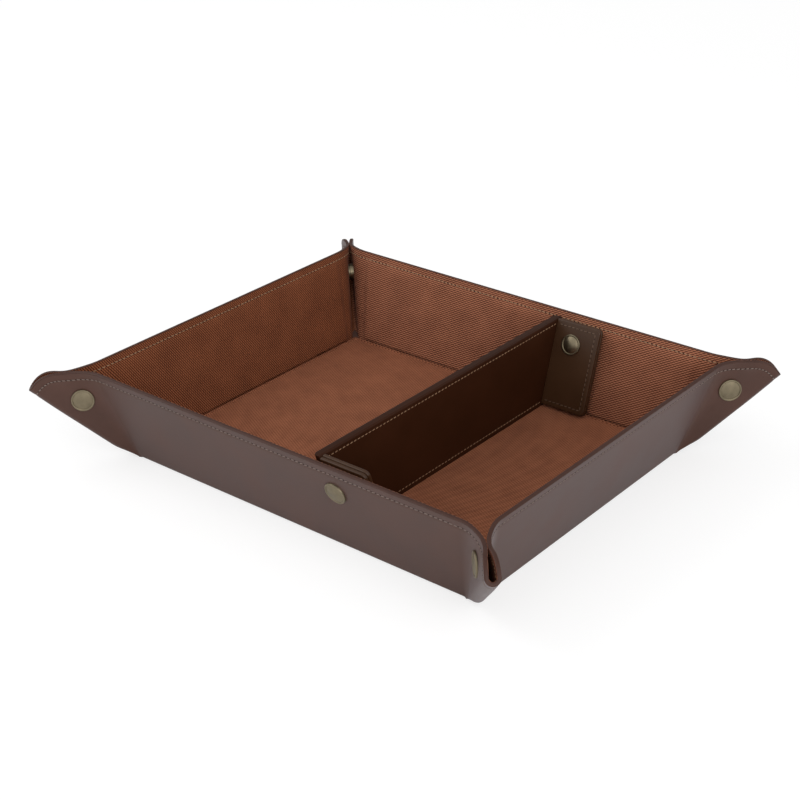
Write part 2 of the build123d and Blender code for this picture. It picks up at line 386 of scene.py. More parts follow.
def deselect():
    """Leaves edit mode and selects nothing."""
    if bpy.context.object and bpy.context.object.mode != "OBJECT":
        bpy.ops.object.mode_set(mode="OBJECT")
    bpy.ops.object.select_all(action="DESELECT")


def pick(piece):
    """Selects one piece alone and makes it active."""
    deselect()
    piece.select_set(True)
    bpy.context.view_layer.objects.active = piece


def named(name):
    """Names the object just added."""
    piece = bpy.context.object
    piece.name = name
    piece.data.name = name
    return piece


def finish_piece(piece, key, slot, angle=radians(40)):
    """Makes normals point outward, smooths the shading and gives the piece its material."""
    pick(piece)
    bpy.ops.object.mode_set(mode="EDIT")
    bpy.ops.mesh.select_all(action="SELECT")
    bpy.ops.mesh.normals_make_consistent(inside=False)
    bpy.ops.object.mode_set(mode="OBJECT")
    bpy.ops.object.shade_smooth_by_angle(angle=angle)
    piece.data.materials.clear()
    piece.data.materials.append(material(key))
    piece.select_set(False)
    return piece


def slab(name, columns, rows, place):
    """Closed two-layer sheet: a grid is extruded, then each point goes to place(column, row, layer)."""
    deselect()
    bpy.ops.mesh.primitive_grid_add(x_subdivisions=len(columns) - 1, y_subdivisions=len(rows) - 1,
                                    size=2, location=(0, 0, 0))
    piece = named(name)
    bpy.ops.object.mode_set(mode="EDIT")
    bpy.ops.mesh.select_all(action="SELECT")
    bpy.ops.mesh.extrude_region_move(TRANSFORM_OT_translate={"value": (0, 0, 1)})
    bpy.ops.object.mode_set(mode="OBJECT")
    across, up = len(columns) - 1, len(rows) - 1
    for vertex in piece.data.vertices:
        i = round((vertex.co.x + 1) / 2 * across)
        j = round((vertex.co.y + 1) / 2 * up)
        vertex.co = place(columns[i], rows[j], round(vertex.co.z))
    return piece


def stitch_row(name, count, pitch, place, holes=False):
    """Row of stitches: one low sphere is stretched and repeated, then each point goes to place(x, y, z).
    With holes, it is the needle holes between the stitches: flat dark discs of painted shadow."""
    deselect()
    bpy.ops.mesh.primitive_uv_sphere_add(segments=6, ring_count=4, radius=0.5, rotation=(0, pi / 2, 0))
    piece = named(name)
    bpy.ops.object.transform_apply(location=True, rotation=True, scale=True)
    slant = 0 if holes else sizes().stitch_slant
    size = [sizes().stitch_length, sizes().stitch_width, sizes().stitch_width * 0.8]
    if holes:
        size = [sizes().hole_size, sizes().hole_size, 0.24 * MM]
    for vertex in piece.data.vertices:
        x, y, z = (v * scale for v, scale in zip(vertex.co, size))
        vertex.co = Vector((x * cos(slant) - y * sin(slant), x * sin(slant) + y * cos(slant), z))
    array = piece.modifiers.new("repeat", "ARRAY")
    array.use_relative_offset = False
    array.use_constant_offset = True
    array.constant_offset_displace = (pitch, 0, 0)
    array.count = count
    bpy.ops.object.modifier_apply(modifier="repeat")
    for vertex in piece.data.vertices:
        vertex.co = place(vertex.co.x, vertex.co.y, vertex.co.z)
    return piece


def seam(name, length, place, key, attach):
    """Stitches and their needle holes, evenly along a seam; each is handed to attach(piece)."""
    count = round(length / sizes().stitch_pitch)
    pitch = length / count
    for part, start in (("stitches", pitch / 2), ("holes", pitch)):
        holes = part == "holes"
        row = stitch_row(f"{name}_{part}", count - holes, pitch,
                         lambda x, y, z: place(start + x, y, z), holes)
        # Holes get the near-black needle_hole_shadow material: painted shadow
        finish_piece(row, "hole" if holes else key, "lining", radians(80))
        attach(row)


def spread(start, end, count):
    """Evenly spaced values from start to end."""
    return [start + (end - start) * i / count for i in range(count + 1)]


# The folded sheet

WALLS = {
    "front": (Vector((0, -1, 0)), HALF_WIDTH, HALF_LENGTH),
    "right": (Vector((1, 0, 0)), HALF_LENGTH, HALF_WIDTH),
    "back": (Vector((0, 1, 0)), HALF_WIDTH, HALF_LENGTH),
    "left": (Vector((-1, 0, 0)), HALF_LENGTH, HALF_WIDTH),
}
CORNERS = {
    "front_right": (1, -1, ("front", "right")),
    "back_right": (1, 1, ("back", "right")),
    "back_left": (-1, 1, ("back", "left")),
    "front_left": (-1, -1, ("front", "left")),
}


class Flap:
    """One wall of the sheet seen from one end: u runs along the rim from the ear's apex to the corner,
    s runs up the slope from the fold line, and depth runs from the leather's face into the tray."""

    def __init__(self, wall, along):
        self.outward, self.distance, fold_half = WALLS[wall]
        self.along = along
        lean = sizes().wall_lean
        self.lean = lean
        self.slope = self.outward * sin(lean) + Z * cos(lean)
        self.inward = self.outward * -cos(lean) + Z * sin(lean)
        self.start = fold_half - SETBACK
        self.apex = self.outward * self.distance + along * self.start
        self.length = RIM_HEIGHT / cos(lean)
        # Turn of the crease from straight up the wall
        self.slant = atan(sin(lean))
        crease_rise = atan(1 / (sqrt(2) * tan(lean)))
        fold_rise = crease_rise - (pi / 4 - self.slant)
        tilt = pi / 4 - fold_rise
        ray = (self.outward + along).normalized()
        self.facing = (along - self.outward).normalized()
        self.rim = ray * cos(tilt) - Z * sin(tilt)
        self.rise = ray * sin(tilt) + Z * cos(tilt)
        self.crease = ray * cos(crease_rise) + Z * sin(crease_rise)
        self.wall_side = along * cos(self.slant) - self.slope * sin(self.slant)
        self.ear_side = self.rim * cos(self.slant) - self.rise * sin(self.slant)
        self.fold = ray * cos(fold_rise) + Z * sin(fold_rise)
        self.out = ray * sin(fold_rise) - Z * cos(fold_rise)
        self.offset = SETBACK / sqrt(2)
        self.nose = pi / 2 * self.offset
        radius = sizes().corner_radius
        self.arc_centre = self.length - radius
        self.tip = self.arc_centre * sqrt(2) + radius
        self.tangent = sizes().fold_radius * tan((pi / 2 - lean) / 2)
        self.turn = 1 if along.cross(self.slope).dot(self.inward) > 0 else -1

    def from_crease(self, u, s):
        """Distances of a pattern point across the crease and up along it."""
        return u * cos(self.slant) - s * sin(self.slant), u * sin(self.slant) + s * cos(self.slant)

    def half_bend(self, up):
        return sizes().bend_start + sizes().bend_growth * max(up, 0)

    def width(self, reach, side):
        """Distance of the leather's face from the corner's diagonal plane: least where the snap pinches."""
        pinch_u, pinch_s, pinch_size = 31 * MM, self.length - 1 * MM, 9 * MM
        mouth_half, mouth_start = 7 * MM, 30 * MM
        u, s = (reach - side) / sqrt(2), (reach + side) / sqrt(2)
        gap = self.offset - LEATHER - LINING
        away = ((u - pinch_u) ** 2 + (s - pinch_s) ** 2) / pinch_size ** 2
        mouth = sizes().mouth_spread * exp(-(side / mouth_half) ** 2)
        mouth *= smooth((reach - mouth_start) / mouth_start)
        return LEATHER + LINING + gap * (1 - exp(-away)) + mouth

    def raised(self, u, s):
        """Rise of the soft ear over its sharp fold: most at the open end, none at the crease."""
        reach = max(u + s, 0) / sqrt(2)
        across, up = self.from_crease(u, s)
        bend = self.half_bend(up)
        whole = reach / sqrt(2) * (cos(self.slant) - sin(self.slant)) - bend
        share = smooth((across - bend) / max(whole, 1 * MM))
        return sizes().ear_lift * (reach / self.tip) ** 1.4 * share

    def wall_point(self, u, s):
        """Point of the leather's face on the flat wall, turned under at its foot."""
        point = self.apex + self.along * u
        if s >= self.tangent:
            return point + self.slope * s
        radius = sizes().fold_radius
        turn = pi / 2 - self.lean
        centre = self.slope * self.tangent + self.inward * radius
        if s > -self.tangent:
            angle = (self.tangent - s) / (2 * self.tangent) * turn
            return point + centre - (self.inward * cos(angle) + self.slope * sin(angle)) * radius
        foot = centre - (self.inward * cos(turn) + self.slope * sin(turn)) * radius
        return point + foot + self.outward * (s + self.tangent)

    def point(self, u, s):
        """Point of the leather's face over the whole flap, fold and ear included."""
        across, up = self.from_crease(u, s)
        bend = self.half_bend(up)
        if across <= -bend:
            return self.wall_point(u, s)
        reach, side = (u + s) / sqrt(2), (s - u) / sqrt(2)
        if side < 0:
            width = self.width(reach, 0)
            angle = -side / self.offset
            lift = self.raised(reach / sqrt(2), reach / sqrt(2))
            middle = self.apex + self.facing * self.offset + self.fold * reach - self.out * lift
            # The nose swells from a tight crease at the corner
            swell = width * smooth((reach + 3 * MM) / (20 * MM))
            return middle + self.out * (swell * sin(angle)) - self.facing * (width * cos(angle))
        if across < bend:
            point = self.apex + self.crease * up
            point -= self.wall_side * ((bend - across) ** 2 / (4 * bend))
            point += self.ear_side * ((across + bend) ** 2 / (4 * bend))
            foot = self.wall_point(u, s) - self.apex - self.along * u - self.slope * s
            point += foot * (1 - smooth((across + bend) / bend))
        else:
            point = self.apex + self.fold * reach - self.out * (side + self.raised(u, s))
        spread_share = smooth((across + bend) / (2 * bend))
        return point - self.facing * ((self.width(reach, side) - self.offset) * spread_share)

    def at(self, u, s, depth):
        """Point at a depth of the sheet, kept on or above the table."""
        step = 0.05 * MM
        here = self.point(u, s)
        normal = (self.point(u + step, s) - here).cross(self.point(u, s + step) - here).normalized()
        here = here + normal * (depth * self.turn)
        side = (s - u) / sqrt(2)
        here.z = max(here.z, depth * smooth(-side / (2 * MM)) if depth > 0 else 0)
        return here

    def lining_depth(self, u, s):
        """Depth of the lining's back: behind the board on the wall, on the leather at the ear."""
        across, up = self.from_crease(u, s)
        share = smooth(-(across + self.half_bend(up)) / sizes().board_margin)
        share *= smooth((rim_distance(self, u, s) - 0.5 * MM) / sizes().rim_taper)
        return LEATHER + (LEATHER_AND_BOARD - LEATHER) * share

    def split(self, s):
        """u where the flat wall piece ends and the ear piece starts."""
        growth = sizes().bend_growth
        edge = sizes().bend_start + sizes().board_margin
        sine, cosine = sin(self.slant), cos(self.slant)
        # across = -(edge + growth * up), solved for u
        return (s * (sine - growth * cosine) - edge) / (cosine + growth * sine)

    def flat_rim(self):
        """Length of the rim over the flat wall piece."""
        return 2 * (self.start + self.split(self.length))

    def rim_length(self):
        """Length of the rim over the ear piece."""
        return (self.arc_centre - self.split(self.length)) + self.arc() + self.nose

    def arc(self):
        return sizes().corner_radius * pi / 4

    def rim_point(self, distance, inset):
        """Pattern point at a distance along the rim from the ear piece's start, moved in from the rim.
        Distances below zero lie on the flat wall piece."""
        straight = self.arc_centre - self.split(self.length)
        if distance <= straight:
            return self.split(self.length) + distance, self.length - inset
        if distance <= straight + self.arc():
            angle = (distance - straight) / sizes().corner_radius
            radius = sizes().corner_radius - inset
            return self.arc_centre + radius * sin(angle), self.arc_centre + radius * cos(angle)
        side = -(distance - straight - self.arc())
        reach = self.tip - inset
        return (reach - side) / sqrt(2), (reach + side) / sqrt(2)

    def wall_pattern(self, column, row, low):
        """Pattern point of the flat wall piece: column -1 to 1 along it, row from foot to rim."""
        s = low + (self.length - low) * row
        return (self.start + self.split(s)) * column - self.start, s

    def pattern(self, share, row, low):
        """Pattern point of the ear piece at a share along it and a row from foot to rim."""
        # The ear's own foot is narrow, as its folds start close together
        crease_foot = low * tan(self.slant)
        foot = (self.split(low), crease_foot, crease_foot + 0.8 * MM, low + self.nose * sqrt(2))
        crease_top = self.length * tan(self.slant) - self.split(self.length)
        tip = self.rim_length() - self.nose
        lower = (between(share, foot), low)
        upper = self.rim_point(between(share, (0, crease_top, tip, self.rim_length())), 0)
        return tuple(a + (b - a) * row for a, b in zip(lower, upper))

    def flat(self, u, s):
        """The point on the whole sheet's flat pattern, in metres."""
        return self.outward * (self.distance + s) + self.along * (self.start + u)


# Shares of the ear piece's columns at its start, the crease, the diagonal fold and its end
EAR_SHARES = (0, 0.24, 0.84, 1)
EAR_COLUMNS = spread(0, 0.24, 12) + spread(0.24, 0.84, 32)[1:] + spread(0.84, 1, 8)[1:]


def between(share, stops):
    """Value at a share along the ear piece, given its values at EAR_SHARES."""
    i = max(k for k in range(3) if k == 0 or share > EAR_SHARES[k])
    part = (share - EAR_SHARES[i]) / (EAR_SHARES[i + 1] - EAR_SHARES[i])
    return stops[i] + (stops[i + 1] - stops[i]) * part


def sheet_rows(length, low):
    """Row shares from the foot to the rim: close at the base fold and near the seam."""
    fold_end, seam_start = 2 * MM, length - 8 * MM
    heights = spread(low, fold_end, 6) + spread(fold_end, seam_start, 30)[1:]
    heights += spread(seam_start, length, 12)[1:]
    return [(h - low) / (length - low) for h in heights]


def seam_press(distance):
    """How far the seam pulls the sheet in at a distance from the rim."""
    deepest, width = 0.16 * MM, 1.1 * MM
    return deepest * exp(-((distance - sizes().stitch_inset) / width) ** 2)


def rim_distance(flap, u, s):
    """Distance of a pattern point from the rim."""
    if u <= flap.arc_centre:
        return flap.length - s
    if s >= u:
        return sizes().corner_radius - sqrt((u - flap.arc_centre) ** 2 + (s - flap.arc_centre) ** 2)
    return flap.tip - (u + s) / sqrt(2)


def set_pattern_uv(piece, flats):
    """UV map with the flat pattern's own size, from each vertex's pattern point."""
    layer = piece.data.uv_layers.get("flat_pattern") or piece.data.uv_layers.new(name="flat_pattern")
    piece.data.uv_layers.active = layer
    for loop in piece.data.loops:
        layer.data[loop.index].uv = flats[loop.vertex_index]


# Lower end of the walls' board and lining, beside the floor lining
LINING_FOOT = 3.9 * MM


def sheet_piece(name, flap, layer, columns, pattern):
    """One layer of the folded sheet, from its foot to the rim, at the points of pattern(column, row, low)."""
    low = -flap.tangent if layer == "leather" else LINING_FOOT
    pressed = {"leather": 0, "lining": 1}.get(layer)
    flats = []

    def place(column, row, side):
        u, s = pattern(column, row, low)
        back = flap.lining_depth(u, s)
        depth = {"leather": (0, LEATHER), "board": (LEATHER, back + 0.02 * MM),
                 "lining": (back, back + LINING)}[layer][side]
        if side == pressed:
            depth += seam_press(rim_distance(flap, u, s)) * (1 if side == 0 else -1)
        flats.append(flap.flat(u, s).xy)
        return flap.at(u, s, depth)

    piece = slab(name, columns, sheet_rows(flap.length, low), place)
    set_pattern_uv(piece, flats)
    return piece


def wall_flap(wall):
    """Flap of a wall, seen from its end along the tray's turn."""
    outward = WALLS[wall][0]
    return Flap(wall, Vector((-outward.y, outward.x, 0)))


def ears():
    """Each ear half: its wall, body name and flap seen from its corner."""
    for corner, (sign_x, sign_y, walls) in CORNERS.items():
        for wall in walls:
            along = Vector((sign_x, 0, 0)) if wall in ("front", "back") else Vector((0, sign_y, 0))
            yield wall, f"{corner}_ear_{wall}_half", Flap(wall, along)


def blend_ear(piece, wall, body, flap):
    """Bakes an ear piece's placement into its mesh."""
    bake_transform(piece)


def finish_layer(piece, layer, wall):
    """Gives a layer of the sheet its material; the lining of the side walls gets the darker, redder copy:
    painted shade.
    """
    key = "shaded_side_lining" if layer == "lining" and wall in ("left", "right") else layer
    return finish_piece(piece, key, layer)


class TRAY_OT_walls(bpy.types.Operator):
    """Leather, board and lining of the four flat walls"""

    bl_idname = "tray.walls"
    bl_label = "Walls"

    def execute(self, context):
        for wall in WALLS:
            flap, body = wall_flap(wall), f"{wall}_wall"
            for layer, part in (("leather", "panel"), ("board", "core"), ("lining", "twill")):
                piece = sheet_piece(f"{body}_{part}", flap, layer, spread(-1, 1, 24), flap.wall_pattern)
                finish_layer(piece, layer, wall)
                if layer == "leather":
                    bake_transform(piece)
                else:
                    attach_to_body(piece, body)
                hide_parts(f"{body}_{layer}")
        return {"FINISHED"}


class TRAY_OT_ears(bpy.types.Operator):
    """Leather and lining of the eight ear halves, bent out of the walls"""

    bl_idname = "tray.ears"
    bl_label = "Corner ears"

    def execute(self, context):
        for wall, body, flap in ears():
            for layer, part in (("leather", "shell"), ("lining", "twill")):
                piece = sheet_piece(f"{body}_{part}", flap, layer, EAR_COLUMNS, flap.pattern)
                finish_layer(piece, layer, wall)
                blend_ear(piece, wall, body, flap)
                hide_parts(f"{body}_{layer}")
        return {"FINISHED"}


def edge_section(row, layer, thickness):
    """Depth and height over the rim on the rounded edge: rows run from the leather's face to the lining's."""
    height = sizes().edge_height
    half = [(0.03 * MM, -height), (-0.03 * MM, -height * 0.85), (-0.05 * MM, -height * 0.45),
            (0.04 * MM, -0.02 * MM), (0.45 * MM, 0.16 * MM), (thickness / 2, 0.22 * MM)]
    depth, up = half[row] if row < 6 else (thickness - half[10 - row][0], half[10 - row][1])
    if layer:
        depth += (thickness / 2 - depth) * 0.25
        up -= 0.25 * MM
    return depth, up


def rim_edge(name, flap, distances):
    """Painted edge over a stretch of the rim."""

    def place(distance, row, layer):
        thickness = flap.lining_depth(*flap.rim_point(distance, 0)) + LINING
        depth, up = edge_section(row, layer, thickness)
        return flap.at(*flap.rim_point(distance, -up), depth)

    return finish_piece(slab(name, distances, range(11), place), "edge", "leather", radians(70))


class TRAY_OT_edges(bpy.types.Operator):
    """Painted edge round the whole rim"""

    bl_idname = "tray.edges"
    bl_label = "Painted edges"

    def execute(self, context):
        for wall in WALLS:
            flap = wall_flap(wall)
            piece = rim_edge(f"{wall}_wall_rim_edge", flap, spread(-flap.flat_rim(), 0, 40))
            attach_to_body(piece, f"{wall}_wall")
        for wall, body, flap in ears():
            piece = rim_edge(f"{body}_rim_edge", flap, spread(0, flap.rim_length(), 60))
            blend_ear(piece, wall, body, flap)
        return {"FINISHED"}


def rim_seams(name, flap, start, length, attach):
    """Seams on the leather face and on the lining over a stretch of the rim."""
    sunk = 0.06 * MM
    for face, key in (("outer", "thread_outside"), ("inner", "thread_inside")):

        def place(x, y, z):
            u, s = flap.rim_point(start + x, sizes().stitch_inset - y)
            if face == "outer":
                return flap.at(u, s, sunk - z)
            # The board is whole behind the flat wall's seam
            back = flap.lining_depth(-flap.start if start < 0 else u, s)
            return flap.at(u, s, back + LINING + z - sunk)

        seam(f"{name}_{face}_seam", length, place, key, attach)


class TRAY_OT_stitching(bpy.types.Operator):
    """Seams along the rim, on the leather face and on the lining"""

    bl_idname = "tray.stitching"
    bl_label = "Rim stitching"

    def execute(self, context):
        for wall in WALLS:
            flap, body = wall_flap(wall), f"{wall}_wall"
            rim_seams(body, flap, -flap.flat_rim(), flap.flat_rim(), lambda row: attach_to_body(row, body))
        for wall, body, flap in ears():
            rim_seams(body, flap, 0, flap.rim_length() - flap.nose * 0.5,
                      lambda row: blend_ear(row, wall, body, flap))
        return {"FINISHED"}


# Points closer than this count as touching
TOUCH = 0.01 * MM


class TRAY_OT_floor_lining(bpy.types.Operator):
    """Twill lining of the base, with rounded edges and cut corners"""

    bl_idname = "tray.floor_lining"
    bl_label = "Floor lining"

    def execute(self, context):
        low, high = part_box("base_lining")
        cut = 4.0 * MM
        diagonal = high[0] + high[1] - cut

        def on_rim(point):
            x, y = abs(point.x), abs(point.y)
            return x > high[0] - TOUCH or y > high[1] - TOUCH or x + y > diagonal - TOUCH

        deselect()
        bpy.ops.mesh.primitive_plane_add(size=1, location=(0, 0, 0))
        piece = named("base_twill")
        piece.scale = (high[0] - low[0], high[1] - low[1], 1)
        piece.location = (0, 0, low[2])
        bpy.ops.object.transform_apply(location=True, rotation=True, scale=True)
        bpy.ops.object.mode_set(mode="EDIT")
        bpy.ops.mesh.select_all(action="SELECT")
        bpy.ops.mesh.bevel(offset=cut, offset_type="OFFSET", segments=1, affect="VERTICES")
        bpy.ops.mesh.select_all(action="SELECT")
        bpy.ops.mesh.extrude_region_move(TRANSFORM_OT_translate={"value": (0, 0, high[2] - low[2])})
        # Margin, then a line pressed into the lining beside the base folds
        for thickness, depth in ((2.0 * MM, 0), (0.35 * MM, -0.7 * MM), (0.35 * MM, 0.7 * MM)):
            bpy.ops.mesh.inset(thickness=thickness, depth=depth)
        bpy.ops.object.mode_set(mode="OBJECT")
        top = high[2] - TOUCH
        bevel_edges(piece, lambda a, b: min(a.z, b.z) > top and on_rim(a) and on_rim(b),
                    offset=0.5 * MM, segments=4)
        set_pattern_uv(piece, [(v.co.x, v.co.y) for v in piece.data.vertices])
        # The floor's lining is the lighter, redder copy: painted light
        finish_piece(piece, "floor_lining", "lining")
        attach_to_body(piece, "tray_base")
        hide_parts("base_lining")
        # Gussets under the cut corners, hidden below the lining but for their tips
        near, far = 7.5 * MM, 0.6 * MM
        for corner, (sign_x, sign_y, _) in CORNERS.items():
            x_ends = sorted((sign_x * (HALF_LENGTH - near), sign_x * (HALF_LENGTH - far)))
            y_ends = sorted((sign_y * (HALF_WIDTH - near), sign_y * (HALF_WIDTH - far)))
            gusset = cube_piece(f"base_{corner}_gusset", (x_ends[0], y_ends[0], 0.5 * MM),
                                (x_ends[1], y_ends[1], 2.4 * MM))
            set_pattern_uv(gusset, [(v.co.x, v.co.y) for v in gusset.data.vertices])
            # Same lighter, redder copy of the lining: painted light
            finish_piece(gusset, "floor_lining", "lining")
            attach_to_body(gusset, "tray_base")
        return {"FINISHED"}


# Divider and tabs

DIVIDER_LOW, DIVIDER_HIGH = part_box("divider_leather")


def cube_piece(name, low, high):
    """Cube primitive at its size and place."""
    deselect()
    middle = [(a + b) / 2 for a, b in zip(low, high)]
    bpy.ops.mesh.primitive_cube_add(size=1, location=middle)
    piece = named(name)
    piece.scale = [b - a for a, b in zip(low, high)]
    bpy.ops.object.transform_apply(location=True, rotation=True, scale=True)
    return piece


def bevel_edges(piece, chosen, offset, segments):
    """Bevels the edges for which chosen(first, second) is true."""
    pick(piece)
    bpy.ops.object.mode_set(mode="EDIT")
    bpy.ops.mesh.select_mode(type="EDGE")
    bpy.ops.mesh.select_all(action="DESELECT")
    bpy.ops.object.mode_set(mode="OBJECT")
    mesh = piece.data
    for edge in mesh.edges:
        first, second = (mesh.vertices[i].co for i in edge.vertices)
        edge.select = bool(chosen(first, second))
    bpy.ops.object.mode_set(mode="EDIT")
    bpy.ops.mesh.bevel(offset=offset, offset_type="OFFSET", segments=segments, affect="EDGES")
    bpy.ops.object.mode_set(mode="OBJECT")


class TRAY_OT_divider(bpy.types.Operator):
    """Divider panel wrapped in leather, with its seams"""

    bl_idname = "tray.divider"
    bl_label = "Divider"

    def execute(self, context):
        low, high = DIVIDER_LOW, DIVIDER_HIGH
        piece = cube_piece("divider_panel", low, high)
        rise = high[2] - low[2]
        for vertex in piece.data.vertices:
            # The ends lean with the walls
            if vertex.co.z < (low[2] + high[2]) / 2:
                vertex.co.y -= (1 if vertex.co.y > 0 else -1) * rise * tan(sizes().wall_lean)
        left = low[0] + 0.1 * MM
        bevel_edges(piece, lambda a, b: max(a.x, b.x) < left and abs(a.z - b.z) > rise / 2,
                    offset=3.4 * MM, segments=8)
        top = high[2] - 0.1 * MM
        bevel_edges(piece, lambda a, b: min(a.z, b.z) > top, offset=1.2 * MM, segments=5)
        finish_piece(piece, "divider", "leather", radians(50))
        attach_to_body(piece, "tray_base")
        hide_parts("divider_leather")
        for place_name, height in (("upper", high[2] - 3.0 * MM), ("lower", low[2] + 3.0 * MM)):
            half = high[1] - 5 * MM - (high[2] - height) * tan(sizes().wall_lean)
            for side, face, sign in (("right", high[0], 1), ("left", low[0], -1)):

                def place(x, y, z):
                    return Vector((face + sign * (z - 0.08 * MM), x - half, height + y))

                seam(f"divider_{side}_{place_name}_seam", 2 * half, place, "thread_inside",
                     lambda row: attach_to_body(row, "tray_base"))
        return {"FINISHED"}


class TRAY_OT_tabs(bpy.types.Operator):
    """The divider's two tabs, each of two padded layers with a seam on three sides"""

    bl_idname = "tray.tabs"
    bl_label = "Divider tabs"

    def execute(self, context):
        for wall in ("front", "back"):
            self.make_tab(wall)
        return {"FINISHED"}

    def make_tab(self, wall):
        body = f"divider_{wall}_tab"
        outward, distance, _ = WALLS[wall]
        flap = Flap(wall, Vector((1, 0, 0)))
        box_low, box_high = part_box(f"{body}_leather")
        near, far = box_low[0], box_high[0]
        outer, inner = sizes().tab_back, sizes().tab_face
        lean = sizes().wall_lean
        low = (box_low[2] - outer * sin(lean)) / cos(lean)
        high = (box_high[2] - inner * sin(lean)) / cos(lean)
        middle = (outer + inner) / 2

        def on_wall(x, s, depth):
            return outward * distance + Vector((x, 0, 0)) + flap.slope * s + flap.inward * depth

        free, bound = far - 0.1 * MM, near + 0.1 * MM
        layers = (("back", outer, middle - 0.05 * MM), ("face", middle + 0.05 * MM, inner))
        for layer, start, end in layers:
            piece = cube_piece(f"{body}_{layer}_layer", (near, low, start), (far, high, end))
            bevel_edges(piece, lambda a, b: min(a.x, b.x) > free and abs(a.z - b.z) > 1 * MM,
                        offset=3.0 * MM, segments=8)
            bevel_edges(piece, lambda a, b: abs(a.z - b.z) < TOUCH and max(a.x, b.x) >= bound,
                        offset=0.75 * MM, segments=4)
            for vertex in piece.data.vertices:
                vertex.co = on_wall(vertex.co.x, vertex.co.y, vertex.co.z)
            finish_piece(piece, "tab", "leather", radians(50))
            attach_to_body(piece, body)
        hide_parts(f"{body}_leather")
        inset = 3.0 * MM
        path = [(near + 1.5 * MM, high - inset), (far - inset, high - inset),
                (far - inset, low + inset), (near + 1.5 * MM, low + inset)]
        for i in range(3):
            (x0, s0), (x1, s1) = path[i], path[i + 1]
            side = sqrt((x1 - x0) ** 2 + (s1 - s0) ** 2)
            dx, ds = (x1 - x0) / side, (s1 - s0) / side

            def place(x, y, z):
                return on_wall(x0 + dx * x - ds * y, s0 + ds * x + dx * y, inner + z - 0.05 * MM)

            seam(f"{body}_seam_{i + 1}", side, place, "thread_tab", lambda row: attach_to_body(row, body))


# Snaps


def cap_mesh(name, radius, height):
    """Snap cap about Z, its foot at zero: a cylinder with a rolled rim and a domed face made by insets."""
    deselect()
    edge = 0.8 * MM
    bpy.ops.mesh.primitive_cylinder_add(vertices=56, radius=radius, depth=edge, location=(0, 0, edge / 2))
    piece = named(name)
    bpy.ops.object.transform_apply(location=True, rotation=True, scale=True)
    bpy.ops.object.mode_set(mode="EDIT")
    bpy.ops.mesh.select_mode(type="FACE")
    bpy.ops.mesh.select_all(action="DESELECT")
    bpy.ops.object.mode_set(mode="OBJECT")
    for polygon in piece.data.polygons:
        polygon.select = polygon.normal.z > 0.9
    bpy.ops.object.mode_set(mode="EDIT")
    rim, steps, bulge = 1.1 * MM, 5, 0.28
    for i in range(steps):
        # Rolled rim: a flattened half circle in section
        before, after = (-cos(pi * k / steps) for k in (i, i + 1))
        rise = (sin(pi * (i + 1) / steps) - sin(pi * i / steps)) * rim * bulge
        bpy.ops.mesh.inset(thickness=(after - before) * rim / 2, depth=rise)
    inside = radius - rim
    dome = height - edge
    ball = (inside ** 2 + dome ** 2) / (2 * dome)
    rings = 9
    for i in range(rings):
        r0, r1 = inside * (1 - i / (rings + 0.5)), inside * (1 - (i + 1) / (rings + 0.5))
        rise = sqrt(ball ** 2 - r1 ** 2) - sqrt(ball ** 2 - r0 ** 2)
        bpy.ops.mesh.inset(thickness=r0 - r1, depth=rise)
    bpy.ops.object.mode_set(mode="OBJECT")
    return piece


class TRAY_OT_snaps(bpy.types.Operator):
    """Snap caps on the walls, the ears and the tabs"""

    bl_idname = "tray.snaps"
    bl_label = "Snap caps"

    def execute(self, context):
        size = sizes()
        for wall in ("front", "back"):
            outward, distance, _ = WALLS[wall]
            flap = Flap(wall, Vector((1, 0, 0)))
            across = DIVIDER_HIGH[0] + size.tab_snap_reach
            seat = outward * distance + Vector((across, 0, 0)) + flap.slope * size.snap_height
            tab_seat = seat + flap.inward * (size.tab_face - 0.05 * MM)
            self.seat_cap(f"{wall}_wall", size.cap_radius, size.cap_height, seat, -flap.inward)
            self.seat_cap(f"divider_{wall}_tab", size.tab_cap_radius, size.tab_cap_height,
                          tab_seat, flap.inward)
        for wall, body, flap in ears():
            seat = flap.apex + flap.rim * size.snap_reach + flap.rise * size.snap_height
            self.seat_cap(body, size.cap_radius, size.cap_height, seat, -flap.facing)
        return {"FINISHED"}

    def seat_cap(self, body, radius, height, seat, up):
        """Cap of a body's snap, seated at its place and turned to face up."""
        piece = cap_mesh(f"{body}_cap", radius, height)
        turn = up.to_track_quat("Z", "Y").to_matrix().to_4x4()
        for vertex in piece.data.vertices:
            vertex.co = turn @ vertex.co + seat
        finish_piece(piece, "metal", "brass", radians(45))
        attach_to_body(piece, body)
        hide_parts(f"{body}_snap_cap")


class TRAY_OT_frame_finish(bpy.types.Operator):
    """Materials of the CAD pieces that stay in view"""

    bl_idname = "tray.frame_finish"
    bl_label = "Frame finish"

    def execute(self, context):
        keys = {"leather": "leather", "lining": "lining", "board": "board", "brass": "metal"}
        slots = {row["node"]: row["material_slot"] for row in frame["record"]["subparts"]}
        for name, node in frame["nodes"].items():
            for i in range(len(node.material_slots)):
                node.material_slots[i].material = material(keys[slots[name]])
        return {"FINISHED"}


# Stage

WHITE = (1, 1, 1, 1)


